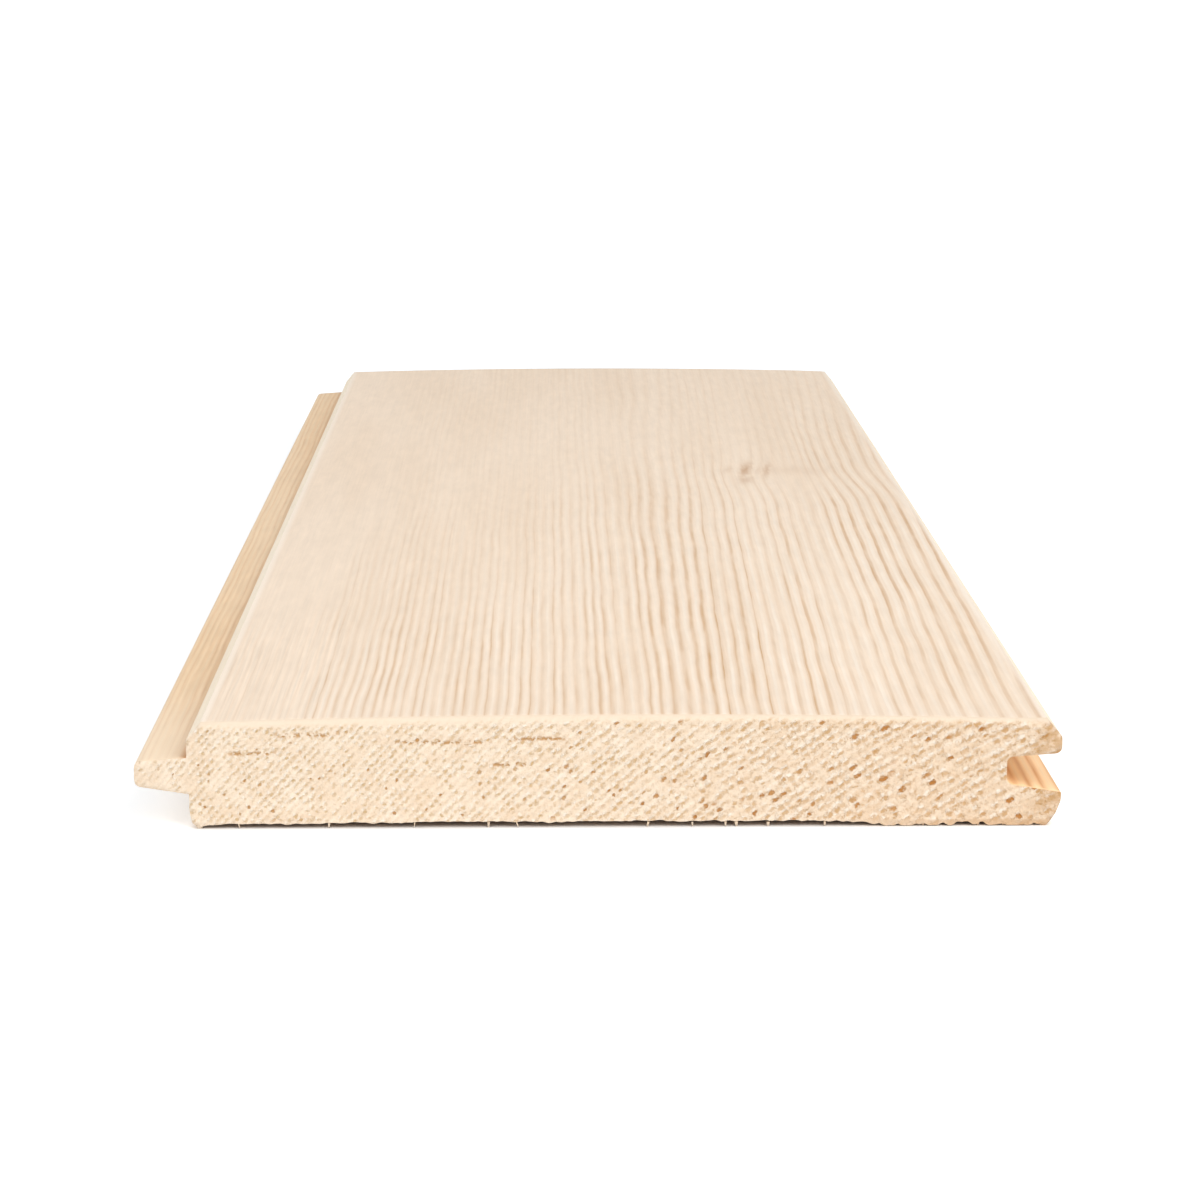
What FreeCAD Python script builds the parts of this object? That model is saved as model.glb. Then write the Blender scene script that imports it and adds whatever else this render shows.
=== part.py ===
import FreeCAD, Part
import math
import os

# Tongue and groove board: one length of planed softwood with the same
# machined section from end to end, all in millimetres.
# X runs across the board, with the tongue on the negative side, Y runs
# along the grain and Z rises from the back to the face. The origin is on
# the back, in the middle of the overall width and of the length.

# Board
length = 425.0
cover_width = 137.0           # shoulder to shoulder, what one board covers
thickness = 18.0              # at the highest line of the face
crown_rise = 0.9              # the face is this much lower at its edges

# Chamfer along both long edges of the face
chamfer_width = 2.3
chamfer_depth = 2.8

# Tongue
tongue_length = 8.2           # out from the shoulder
tongue_root = 5.8             # thickness at the shoulder
tongue_height = 8.5           # middle of the root, above the back
tongue_top_taper = 4.0        # slope of the upper face, in degrees
tongue_under_taper = 9.0      # slope of the lower face, in degrees
tongue_corner = 0.9           # rounding of the two tip corners
back_relief = 0.3             # the shoulder under the tongue stands back

# Fit of the groove on a neighbour's tongue
groove_clearance = 0.25       # above and below the tongue
groove_end_gap = 0.4          # in front of the tongue's tip
groove_corner = 0.9           # rounding in the bottom of the groove
lip_ease = 1.0                # rounding of the upper lip at the mouth

# Eased back edges, each an arc that stands out from its chord by the bulge
tongue_ease_width = 1.4
tongue_ease_height = 2.7
tongue_ease_bulge = 0.35
groove_ease_width = 2.2
groove_ease_height = 4.0
groove_ease_bulge = 0.25

# Heights and widths that follow from these
overall_width = cover_width + tongue_length
tip_x = -overall_width / 2
shoulder_x = tip_x + tongue_length
lip_x = overall_width / 2
face_edge = thickness - crown_rise
chamfer_foot = face_edge - chamfer_depth
tongue_top = tongue_height + tongue_root / 2
tongue_under = tongue_height - tongue_root / 2
groove_top = tongue_top + groove_clearance
groove_under = tongue_under - groove_clearance
groove_depth = tongue_length + groove_end_gap
root_x = lip_x - groove_depth
top_slope = math.tan(math.radians(tongue_top_taper))
under_slope = math.tan(math.radians(tongue_under_taper))


def at(x, z):
    """A point of the section, in the plane of the front end."""
    return FreeCAD.Vector(x, -length / 2, z)


def arc_through(start, middle, end):
    """The edge of a circular arc through three points."""
    return Part.Arc(start, middle, end).toShape()


def bulged(start, end, bulge):
    """An arc that stands out to the left of its chord, which is outside."""
    chord = end - start
    outward = FreeCAD.Vector(-chord.z, 0, chord.x).normalize()
    return arc_through(start, (start + end) / 2 + outward * bulge, end)


def rounded(before, corner, after, radius):
    """Where a corner's rounding starts, its middle and where it ends."""
    back = (before - corner).normalize()
    on = (after - corner).normalize()
    half = back.getAngle(on) / 2
    inward = (back + on).normalize()
    middle = corner + inward * (radius / math.sin(half) - radius)
    run = radius / math.tan(half)
    return corner + back * run, middle, corner + on * run


# The tongue narrows towards its tip, and both tip corners are rounded
under_root = at(shoulder_x + back_relief, tongue_under - back_relief * under_slope)
tip_under = at(tip_x, tongue_under + tongue_length * under_slope)
tip_top = at(tip_x, tongue_top - tongue_length * top_slope)
top_root = at(shoulder_x, tongue_top)
tip_low = rounded(under_root, tip_under, tip_top, tongue_corner)
tip_high = rounded(tip_under, tip_top, top_root, tongue_corner)

# The groove has the tongue's shape, opened by the clearances
mouth_top = at(lip_x, groove_top)
root_top = at(root_x, groove_top - groove_depth * top_slope)
root_under = at(root_x, groove_under + groove_depth * under_slope)
mouth_under = at(lip_x, groove_under)
chamfer_right = at(lip_x, chamfer_foot)
lip_round = rounded(chamfer_right, mouth_top, root_top, lip_ease)
root_high = rounded(mouth_top, root_top, root_under, groove_corner)
root_low = rounded(root_top, root_under, mouth_under, groove_corner)

# Face, chamfers and back
face_left = at(shoulder_x + chamfer_width, face_edge)
face_right = at(lip_x - chamfer_width, face_edge)
face_crest = at((shoulder_x + lip_x) / 2, thickness)
chamfer_left = at(shoulder_x, chamfer_foot)
left_side = at(shoulder_x + back_relief, tongue_ease_height)
left_back = at(shoulder_x + back_relief + tongue_ease_width, 0)
right_side = at(lip_x, groove_ease_height)
right_back = at(lip_x - groove_ease_width, 0)

# The section, from the back edge on the tongue side round over the face
section = [
    bulged(left_back, left_side, tongue_ease_bulge),
    Part.makeLine(left_side, under_root),
    Part.makeLine(under_root, tip_low[0]),
    arc_through(*tip_low),
    Part.makeLine(tip_low[2], tip_high[0]),
    arc_through(*tip_high),
    Part.makeLine(tip_high[2], top_root),
    Part.makeLine(top_root, chamfer_left),
    Part.makeLine(chamfer_left, face_left),
    arc_through(face_left, face_crest, face_right),
    Part.makeLine(face_right, chamfer_right),
    Part.makeLine(chamfer_right, lip_round[0]),
    arc_through(*lip_round),
    Part.makeLine(lip_round[2], root_high[0]),
    arc_through(*root_high),
    Part.makeLine(root_high[2], root_low[0]),
    arc_through(*root_low),
    Part.makeLine(root_low[2], mouth_under),
    Part.makeLine(mouth_under, right_side),
    bulged(right_side, right_back, groove_ease_bulge),
    Part.makeLine(right_back, left_back),
]
outline = Part.Wire(section)
board = Part.Face(outline).extrude(FreeCAD.Vector(0, length, 0))

os.makedirs("parts", exist_ok=True)
board.exportStep("parts/board.step")
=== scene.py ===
"""Tongue and groove board in pale softwood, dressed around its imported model.

One mesh stands for the board. Its section is drawn at real size, cut into a
fine grid at the sawn end, drawn out along the grain in rows and then given
its relief: eased arrises, a torn lower edge, pits in the end grain and low
waves along the growth rings. Colour and relief read the same growth rings,
which run through the whole board as they do in a tree. All sizes of the wood
are in millimetres until the mesh is finished.
"""

import logging
import math
from dataclasses import dataclass
from enum import Enum

import bmesh
import bpy
from mathutils import Matrix, Vector, kdtree, noise


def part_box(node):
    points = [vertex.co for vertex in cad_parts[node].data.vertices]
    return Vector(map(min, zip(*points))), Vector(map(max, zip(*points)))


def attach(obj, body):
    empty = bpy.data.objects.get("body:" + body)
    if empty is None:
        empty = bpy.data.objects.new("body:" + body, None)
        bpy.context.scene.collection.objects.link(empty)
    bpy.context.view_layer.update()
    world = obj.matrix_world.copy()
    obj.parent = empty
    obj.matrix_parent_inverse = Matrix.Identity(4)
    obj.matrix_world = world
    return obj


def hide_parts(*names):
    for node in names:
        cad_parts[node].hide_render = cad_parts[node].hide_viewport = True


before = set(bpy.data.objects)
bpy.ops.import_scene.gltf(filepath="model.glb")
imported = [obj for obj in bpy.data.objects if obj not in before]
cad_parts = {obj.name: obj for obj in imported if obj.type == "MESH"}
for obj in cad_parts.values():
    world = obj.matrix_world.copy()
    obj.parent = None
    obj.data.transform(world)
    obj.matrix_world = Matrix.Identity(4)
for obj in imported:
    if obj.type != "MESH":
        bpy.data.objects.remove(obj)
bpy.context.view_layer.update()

MM = 0.001

log = logging.getLogger("board")

Socket = bpy.types.NodeSocket


class Surface(Enum):
    """The surfaces of the board that are finished differently."""

    FACE = 0
    CHAMFER = 1
    JOINT = 2
    END = 3
    BACK = 4
    GROOVE = 5


class Tree(Enum):
    """The two kinds of node tree that the growth rings are built in."""

    SHADER = "ShaderNodeTree"
    GEOMETRY = "GeometryNodeTree"


def linear(red: int, green: int, blue: int) -> tuple[float, float, float, float]:
    """A colour as it is seen on a screen, from 0 to 255, made linear.

    Args:
        red: Red.
        green: Green.
        blue: Blue.

    Returns:
        The colour as Blender's sockets take it.
    """
    parts = []
    for value in (red, green, blue):
        share = value / 255
        parts.append(share / 12.92 if share <= 0.04045 else ((share + 0.055) / 1.055) ** 2.4)
    return (parts[0], parts[1], parts[2], 1.0)


class NodeMaker:
    """Adds nodes to one tree and joins them."""

    def __init__(self, tree: bpy.types.NodeTree) -> None:
        """Takes the tree that the nodes go in."""
        self.tree = tree

    def node(self, kind: str, **settings: object) -> bpy.types.Node:
        """Adds a node.

        Args:
            kind: The node's type name.
            settings: Its properties.

        Returns:
            The new node.
        """
        new = self.tree.nodes.new(kind)
        for name, value in settings.items():
            setattr(new, name, value)
        return new

    def put(self, target: Socket, value: object) -> None:
        """Joins a socket to the target, or sets the target's own value."""
        if isinstance(value, Socket):
            self.tree.links.new(value, target)
        else:
            target.default_value = value

    def math(self, operation: str, first: object, second: object = 0.0, third: object = 0.0) -> Socket:
        """Works out one number.

        Args:
            operation: What the Math node does.
            first: The first input, a socket or a number.
            second: The second input.
            third: The third input, where the operation has one.

        Returns:
            The result.
        """
        new = self.node("ShaderNodeMath", operation=operation)
        for socket, value in zip(new.inputs, (first, second, third)):
            self.put(socket, value)
        return new.outputs[0]

    def add(self, *values: object) -> Socket:
        """The sum of some sockets or numbers."""
        total = values[0]
        for value in values[1:]:
            total = self.math("ADD", total, value)
        return total

    def times(self, *values: object) -> Socket:
        """The product of some sockets or numbers."""
        total = values[0]
        for value in values[1:]:
            total = self.math("MULTIPLY", total, value)
        return total

    def less(self, first: object, second: object) -> Socket:
        """The first input less the second."""
        return self.math("SUBTRACT", first, second)

    def step(self, value: object, low: float, high: float) -> Socket:
        """A smooth step from 0 at low to 1 at high, which may be the lower of the two."""
        new = self.node("ShaderNodeMapRange", interpolation_type="SMOOTHSTEP")
        falls = high < low
        self.put(new.inputs["Value"], value)
        new.inputs["From Min"].default_value = high if falls else low
        new.inputs["From Max"].default_value = low if falls else high
        new.inputs["To Min"].default_value = 1.0 if falls else 0.0
        new.inputs["To Max"].default_value = 0.0 if falls else 1.0
        return new.outputs["Result"]

    def bump_at(self, value: object, centre: float, width: float) -> Socket:
        """A bell that is 1 where the value is at the centre and fades over the width."""
        away = self.math("DIVIDE", self.less(value, centre), width)
        return self.math("EXPONENT", self.times(away, away, -1.0))

    def split(self, vector: Socket) -> tuple[Socket, Socket, Socket]:
        """The three parts of a vector."""
        new = self.node("ShaderNodeSeparateXYZ")
        self.put(new.inputs[0], vector)
        return new.outputs[0], new.outputs[1], new.outputs[2]

    def vector(self, x: object, y: object, z: object) -> Socket:
        """A vector made of three sockets or numbers."""
        new = self.node("ShaderNodeCombineXYZ")
        for socket, value in zip(new.inputs, (x, y, z)):
            self.put(socket, value)
        return new.outputs[0]

    def stretched(self, vector: Socket, x: float, y: float, z: float) -> Socket:
        """A vector with each part multiplied by its own number."""
        new = self.node("ShaderNodeVectorMath", operation="MULTIPLY")
        self.put(new.inputs[0], vector)
        new.inputs[1].default_value = (x, y, z)
        return new.outputs[0]

    def noise(self, vector: Socket, detail: float = 1.0, roughness: float = 0.5) -> Socket:
        """Smooth noise about 0.5 that changes over a distance of about 1."""
        new = self.node("ShaderNodeTexNoise", noise_dimensions="3D")
        self.put(new.inputs["Vector"], vector)
        new.inputs["Scale"].default_value = 1.0
        new.inputs["Detail"].default_value = detail
        new.inputs["Roughness"].default_value = roughness
        return new.outputs[0]

    def noise_along(self, value: Socket, detail: float = 0.0) -> Socket:
        """Smooth noise about 0.5 along one number."""
        new = self.node("ShaderNodeTexNoise", noise_dimensions="1D")
        self.put(new.inputs["W"], value)
        new.inputs["Scale"].default_value = 1.0
        new.inputs["Detail"].default_value = detail
        return new.outputs[0]

    def scattered(self, vector: Socket, scatter: Socket) -> tuple[Socket, Socket]:
        """Finds the nearest of the points that are scattered one to each square.

        Args:
            vector: The place, of which x and y count.
            scatter: How far from its square's corner a point may lie.

        Returns:
            The point's place, and three numbers from 0 to 1 of its own.
        """
        new = self.node("ShaderNodeTexVoronoi", voronoi_dimensions="2D", feature="F1")
        self.put(new.inputs["Vector"], vector)
        new.inputs["Scale"].default_value = 1.0
        self.put(new.inputs["Randomness"], scatter)
        return new.outputs["Position"], new.outputs["Color"]

    def oval(self, across: Socket, along: Socket, width: object, length: object, ragged: object) -> Socket:
        """1 in the middle of an oval, 0 outside it, with a soft and ragged edge."""
        wide = self.math("DIVIDE", across, width)
        long = self.math("DIVIDE", along, length)
        return self.step(self.add(self.times(wide, wide), self.times(long, long), ragged), 1.9, 0.1)

    def smudge(self, across: Socket, along: Socket, width: float, length: float) -> Socket:
        """A soft mark that is 1 in its middle and fades out all round."""
        return self.times(self.bump_at(across, 0.0, width), self.bump_at(along, 0.0, length))

    def mixed(self, share: object, first: object, second: object) -> Socket:
        """A mix of two colours.

        Args:
            share: How much of the second there is.
            first: The first colour.
            second: The second colour.

        Returns:
            The mixed colour.
        """
        new = self.node("ShaderNodeMix", data_type="RGBA")
        self.put(new.inputs[0], share)
        self.put(new.inputs[6], first)
        self.put(new.inputs[7], second)
        return new.outputs[2]

    def grouped(self, group: bpy.types.NodeTree, **values: object) -> bpy.types.Node:
        """Places a node group.

        Args:
            group: The group.
            values: Its inputs by name, with _ for a space.

        Returns:
            The group's node.
        """
        kind = "ShaderNodeGroup" if self.tree.bl_idname == Tree.SHADER.value else "GeometryNodeGroup"
        new = self.node(kind, node_tree=group)
        for name, value in values.items():
            self.put(new.inputs[name.replace("_", " ")], value)
        return new


@dataclass(frozen=True)
class PinKnot:
    """The small knot in the face, with the streak beside it.

    Its axis runs from the pith out to the face, so it leans across the board.
    """

    x: float = 37.3
    y: float = 31.5
    height: float = 17.8
    half_width: float = 0.9
    half_length: float = 10.0
    streak_offset: float = 4.1
    second_offset: float = 2.3
    hook_offset: float = 14.5
    lean: tuple[float, float] = (0.836, 0.548)
    quiet_x: float = 47.5
    quiet_y: float = 22.0


@dataclass(frozen=True)
class GrowthRings:
    """The rings of the tree that the board was cut from.

    The pith lies below the board on the groove side, and the rings are wider
    towards it. Along the board the lines on the groove side drift away from
    the others, so the rings between them widen.
    """

    pith_x: float = 190.0
    pith_z: float = -215.0
    width: float = 0.94
    width_radius: float = 341.4
    widening: float = 0.0066
    drift: float = 0.0015
    spread: float = 0.0215
    front_y: float = -212.5
    slow_wave: float = 1.7
    quick_wave: float = 0.85
    uneven: float = 0.3
    knot: PinKnot = PinKnot()

    def group(self, kind: Tree) -> bpy.types.NodeTree:
        """Builds the node group that reads the rings.

        Args:
            kind: The kind of tree that the group is for.

        Returns:
            The group, with a Place input in millimetres and the outputs
            Line, Crest, Ring, Count, Around, Knot and Quiet.
        """
        tree = bpy.data.node_groups.new(f"growth_rings_{kind.name.lower()}", kind.value)
        tree.interface.new_socket("Place", in_out="INPUT", socket_type="NodeSocketVector")
        for name in ("Line", "Crest", "Ring", "Count", "Around", "Knot", "Quiet"):
            tree.interface.new_socket(name, in_out="OUTPUT", socket_type="NodeSocketFloat")
        maker = NodeMaker(tree)
        place = maker.node("NodeGroupInput").outputs[0]
        out = maker.node("NodeGroupOutput")
        x, y, z = maker.split(place)

        across, along = self.knot_place(maker, x, y, z)
        mark, quiet, push = self.knot_marks(maker, across, along, x, y)
        side = maker.less(x, self.pith_x)
        slow = maker.noise(maker.stretched(place, 1 / 60, 1 / 72, 1 / 60), 1.0)
        quick = maker.noise(maker.stretched(place, 1 / 8, 1 / 26, 1 / 14), 2.0)
        drift = maker.add(maker.times(maker.step(x, 2.0, 28.0), self.spread), self.drift)
        wander = maker.add(
            maker.times(maker.less(slow, 0.5), self.slow_wave),
            maker.times(maker.less(quick, 0.5), self.quick_wave),
            maker.times(maker.less(self.front_y, y), drift),
            push,
        )
        side = maker.add(side, wander)
        up = maker.less(z, self.pith_z)
        radius = maker.math("SQRT", maker.add(maker.times(side, side), maker.times(up, up)))
        spacing = maker.add(maker.times(maker.less(self.width_radius, radius), self.widening), self.width)
        count = maker.math("DIVIDE", maker.math("LOGARITHM", spacing, math.e), self.widening)
        uneven = maker.times(maker.less(maker.noise_along(maker.times(count, 0.45)), 0.5), self.uneven)
        count = maker.add(count, uneven)
        share = maker.math("FRACT", count)
        ring = maker.math("FLOOR", count)
        line = maker.math("MAXIMUM", maker.step(share, 0.37, 0.02), maker.step(share, 0.72, 0.98))
        crest = maker.times(maker.step(share, 0.34, 0.5), maker.step(share, 0.74, 0.58))
        angle = maker.math("ARCTAN2", up, side)
        maker.put(out.inputs["Line"], line)
        maker.put(out.inputs["Crest"], crest)
        maker.put(out.inputs["Ring"], ring)
        maker.put(out.inputs["Count"], count)
        maker.put(out.inputs["Around"], maker.times(angle, self.width_radius))
        maker.put(out.inputs["Knot"], mark)
        maker.put(out.inputs["Quiet"], quiet)
        return tree

    def knot_place(self, maker: NodeMaker, x: Socket, y: Socket, z: Socket) -> tuple[Socket, Socket]:
        """The place across and along the grain from the knot's leaning axis."""
        flat = maker.times(maker.less(x, self.knot.x), self.knot.lean[0])
        rise = maker.times(maker.less(z, self.knot.height), self.knot.lean[1])
        return maker.add(flat, rise), maker.less(y, self.knot.y)

    def knot_marks(
        self, maker: NodeMaker, across: Socket, along: Socket, x: Socket, y: Socket
    ) -> tuple[Socket, Socket, Socket]:
        """What the knot does to the wood round it.

        Args:
            maker: Adds the nodes.
            across: Distance across the grain from the knot's axis.
            along: Distance along the grain from it.
            x: Place across the board.
            y: Place along the board.

        Returns:
            The knot's own mark, how far the lines fade beside it, and how far
            the rings are pushed sideways.
        """
        ragged = maker.noise(maker.vector(across, maker.times(along, 0.16), 2.0), 1.0)
        across_bent = maker.add(across, maker.times(maker.less(ragged, 0.5), 1.6), maker.times(along, -0.08))
        wide, long = self.knot.half_width, self.knot.half_length
        core = maker.smudge(across_bent, along, wide, long)
        hook = maker.smudge(maker.less(across_bent, 0.4), maker.add(along, self.knot.hook_offset), 1.6 * wide, 0.5 * long)
        streak = maker.smudge(maker.less(across_bent, self.knot.streak_offset), along, 0.85 * wide, long)
        trail = maker.times(maker.step(across, 0.0, 5.0), maker.step(across, 21.0, 10.0), maker.bump_at(along, 0.0, 6.0))
        second = maker.smudge(maker.less(across_bent, self.knot.second_offset), along, 0.5 * wide, 0.7 * long)
        before = maker.smudge(maker.add(across_bent, 3.4), along, 0.9 * wide, 0.5 * long)
        streaks = maker.math("MAXIMUM", maker.times(streak, 0.75), maker.times(maker.add(second, before), 0.3))
        faint = maker.math("MAXIMUM", streaks, maker.times(hook, 0.55))
        mark = maker.math("MAXIMUM", core, maker.math("MAXIMUM", faint, maker.times(trail, 0.16)))
        quiet = maker.times(maker.bump_at(x, self.knot.quiet_x, 9.0), maker.bump_at(y, self.knot.quiet_y, 26.0))
        far_side = maker.step(x, self.knot.x + 9.0, self.knot.x + 20.0)
        beyond = maker.step(y, self.knot.y - 45.0, self.knot.y + 10.0)
        returns = maker.step(y, self.knot.y + 175.0, self.knot.y + 40.0)
        swing = maker.times(far_side, beyond, returns, 3.0)
        near = maker.times(maker.bump_at(across, 0.0, 9.0), maker.bump_at(along, -8.0, 24.0))
        lean_in = maker.times(near, 1.9)
        return mark, quiet, maker.add(swing, lean_in)


@dataclass(frozen=True)
class TornCells:
    """The short marks and pits that the saw leaves along the rings in the end grain.

    They stand one to each length of ring, and that length grows towards the
    groove side, where the marks are longer.
    """

    length: float = 0.95
    left_around: float = 825.0
    lengthening: float = 0.0105
    scatter: float = 0.42
    scatter_right: float = 0.13
    rows: tuple[tuple[float, float, float], ...] = (
        (-57.7, -50.5, 12.1),
        (-50.3, -42.0, 15.0),
        (-31.0, -17.0, 13.8),
        (-14.0, -5.4, 14.3),
        (-17.0, -11.0, 10.2),
    )

    def group(self, kind: Tree) -> bpy.types.NodeTree:
        """Builds the node group of the marks.

        Args:
            kind: The kind of tree that the group is for.

        Returns:
            The group, with the inputs Place, Count and Around and the
            outputs Mark, Deep, Rim and Lump. Rim is a raised rim beside
            each mark that the sawn end also paints as a pale highlight.
        """
        tree = bpy.data.node_groups.new(f"torn_cells_{kind.name.lower()}", kind.value)
        tree.interface.new_socket("Place", in_out="INPUT", socket_type="NodeSocketVector")
        for name in ("Count", "Around"):
            tree.interface.new_socket(name, in_out="INPUT", socket_type="NodeSocketFloat")
        for name in ("Mark", "Deep", "RimHighlight", "Lump"):
            tree.interface.new_socket(name, in_out="OUTPUT", socket_type="NodeSocketFloat")
        maker = NodeMaker(tree)
        source = maker.node("NodeGroupInput")
        out = maker.node("NodeGroupOutput")
        place, count, around = source.outputs[0], source.outputs[1], source.outputs[2]
        x, _, z = maker.split(place)
        spacing = maker.add(maker.times(maker.less(self.left_around, around), self.lengthening), self.length)
        lengths = maker.math("DIVIDE", maker.math("LOGARITHM", spacing, math.e), self.lengthening)
        right = maker.step(x, -40.0, 50.0)
        scatter = maker.add(maker.times(right, self.scatter_right), self.scatter)
        at = maker.vector(maker.add(count, maker.times(scatter, 0.5)), lengths, 0.0)
        point, own = maker.scattered(at, scatter)
        away = maker.node("ShaderNodeVectorMath", operation="SUBTRACT")
        maker.put(away.inputs[0], at)
        maker.put(away.inputs[1], point)
        across, along, _ = maker.split(away.outputs[0])
        size, tone, chance = maker.split(own)

        kerfs = maker.noise_along(maker.times(z, 0.85), 1.0)
        clumps = maker.noise(maker.stretched(place, 1 / 9, 0.0, 1 / 4), 2.0)
        lump = maker.times(maker.less(clumps, 0.5), 0.9)
        low_right = maker.times(maker.step(x, -30.0, 62.0), maker.step(z, 17.0, 5.0))
        tongue = maker.step(x, -62.0, -66.0)
        big = maker.add(tone, maker.times(low_right, 0.08), maker.times(lump, 0.1), maker.times(right, 0.04))
        big = maker.step(big, 0.88, 1.05)
        width = maker.add(maker.times(size, 0.10), maker.times(right, 0.01), 0.14)
        length = maker.add(maker.times(size, 0.16), maker.times(right, 0.11), 0.17)
        here = maker.add(chance, lump, maker.times(maker.less(kerfs, 0.5), 0.5), maker.times(tongue, -0.35))
        here = maker.step(here, 0.12, 0.42)
        edge = maker.noise(maker.stretched(place, 2.4, 2.4, 2.4), 3.0, 0.7)
        ragged = maker.times(maker.less(edge, 0.5), 4.5)
        shape = maker.oval(across, along, width, length, ragged)
        mark = maker.times(shape, here, maker.add(maker.times(tone, 0.6), 0.4))
        deep = maker.times(shape, big, here)
        # Painted highlight: a copy of each mark moved a little outwards, raised and painted pale on the sawn end.
        rim = maker.times(maker.oval(maker.add(across, 0.4), along, width, length, ragged), here)
        chips = maker.noise(maker.vector(maker.times(count, 2.1), maker.times(around, 1.05), 0.0), 4.0, 0.75)
        in_line = maker.step(maker.math("ABSOLUTE", maker.less(maker.math("FRACT", count), 0.5)), 0.08, 0.36)
        chips = maker.times(
            maker.step(chips, 0.49, 0.6),
            maker.add(maker.times(maker.math("MAXIMUM", in_line, maker.times(right, 0.35)), 0.75), 0.25),
            maker.add(maker.times(here, 0.3), maker.times(right, 0.2), 0.25),
        )
        rows = self.rows_of_dashes(maker, x, z)
        maker.put(out.inputs["Mark"], maker.math("MAXIMUM", maker.math("MAXIMUM", mark, chips), rows))
        maker.put(out.inputs["Deep"], maker.math("MAXIMUM", deep, maker.times(rows, 0.6)))
        maker.put(out.inputs["RimHighlight"], rim)
        maker.put(out.inputs["Lump"], clumps)
        return tree

    def rows_of_dashes(self, maker: NodeMaker, x: Socket, z: Socket) -> Socket:
        """The level rows of darker dashes near the face.

        Args:
            maker: Adds the nodes.
            x: Place across the board.
            z: Height.

        Returns:
            1 in the dashes and 0 elsewhere.
        """
        dashes = maker.noise(maker.vector(maker.times(x, 1.3), 3.7, maker.times(z, 1.5)), 2.0, 0.7)
        sway = maker.times(maker.less(maker.noise_along(maker.times(x, 0.9), 2.0), 0.5), 0.9)
        rows = None
        for start, end, height in self.rows:
            inside = maker.times(maker.step(x, start - 1.0, start + 1.0), maker.step(x, end + 1.0, end - 1.0))
            row = maker.times(inside, maker.bump_at(maker.add(z, sway), height, 0.3))
            rows = row if rows is None else maker.math("MAXIMUM", rows, row)
        return maker.times(rows, maker.step(dashes, 0.47, 0.57))


@dataclass(frozen=True)
class LongFibres:
    """The fine streaks that run along the grain on every planed surface."""

    across: float = 0.42
    along: float = 34.0

    def group(self, kind: Tree) -> bpy.types.NodeTree:
        """Builds the node group of the streaks.

        Args:
            kind: The kind of tree that the group is for.

        Returns:
            The group, with a Place input in millimetres and the outputs
            Streak and Cloud.
        """
        tree = bpy.data.node_groups.new(f"long_fibres_{kind.name.lower()}", kind.value)
        tree.interface.new_socket("Place", in_out="INPUT", socket_type="NodeSocketVector")
        for name in ("Streak", "Cloud"):
            tree.interface.new_socket(name, in_out="OUTPUT", socket_type="NodeSocketFloat")
        maker = NodeMaker(tree)
        place = maker.node("NodeGroupInput").outputs[0]
        out = maker.node("NodeGroupOutput")
        fine = maker.stretched(place, 1 / self.across, 1 / self.along, 1 / self.across)
        maker.put(out.inputs["Streak"], maker.noise(fine, 3.0, 0.6))
        cloud = maker.stretched(place, 1 / 14, 1 / 150, 1 / 14)
        maker.put(out.inputs["Cloud"], maker.noise(cloud, 2.0))
        return tree


@dataclass(frozen=True)
class WoodFinish:
    """How one surface of the board looks.

    Colours are as seen on a screen, from 0 to 255.
    """

    name: str
    pale: tuple[int, int, int]
    warm: tuple[int, int, int]
    line: tuple[int, int, int]
    crest: tuple[int, int, int]
    line_strength: float
    streak_strength: float
    fibre_relief: float
    roughness: float
    painted_edge_highlight: float = 0.0
    painted_root_shade: float = 0.0
    fades: bool = False


FACE_FINISH = WoodFinish(
    "planed_face", (246, 226, 204), (241, 219, 195), (206, 164, 118), (254, 242, 227), 0.83, 0.13, 0.006, 0.62, 0.6,
    fades=True,
)
# The chamfers are painted paler than the face: a painted highlight along both chamfers.
CHAMFER_FINISH = WoodFinish(
    "chamfer", (254, 240, 218), (252, 235, 209), (236, 206, 168), (255, 245, 228), 0.3, 0.04, 0.006, 0.6, fades=True
)
JOINT_FINISH = WoodFinish(
    "milled_tongue", (242, 216, 183), (236, 205, 167), (206, 154, 104), (250, 233, 210), 0.4, 0.24, 0.02, 0.66, 0.0, 0.9
)
# The groove is painted brighter and more orange than the tongue: partly the wood's own colour and partly painted bounce
# light glowing inside the groove.
GROOVE_FINISH = WoodFinish(
    "milled_groove_painted_glow", (255, 230, 191), (253, 219, 173), (212, 152, 94), (255, 238, 206), 0.7, 0.16, 0.02, 0.66
)
BACK_FINISH = WoodFinish(
    "planed_back", (247, 227, 202), (241, 218, 190), (212, 168, 122), (252, 236, 216), 0.8, 0.08, 0.01, 0.66
)


@dataclass(frozen=True)
class SawnFinish:
    """How the sawn ends look. Colours are as seen on a screen, from 0 to 255."""

    name: str = "sawn_end"
    pale: tuple[int, int, int] = (247, 229, 207)
    warm: tuple[int, int, int] = (237, 212, 184)
    mark: tuple[int, int, int] = (204, 170, 120)
    burnt: tuple[int, int, int] = (194, 144, 82)
    deep: tuple[int, int, int] = (184, 116, 46)
    # crest is the colour of the painted highlights on the end grain.
    crest: tuple[int, int, int] = (252, 242, 228)
    smooth: tuple[int, int, int] = (237, 218, 195)
    lip: tuple[int, int, int] = (216, 178, 138)
    # recess is the colour of the painted shade under the torn lip.
    recess: tuple[int, int, int] = (170, 134, 102)
    roughness: float = 0.75


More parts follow.
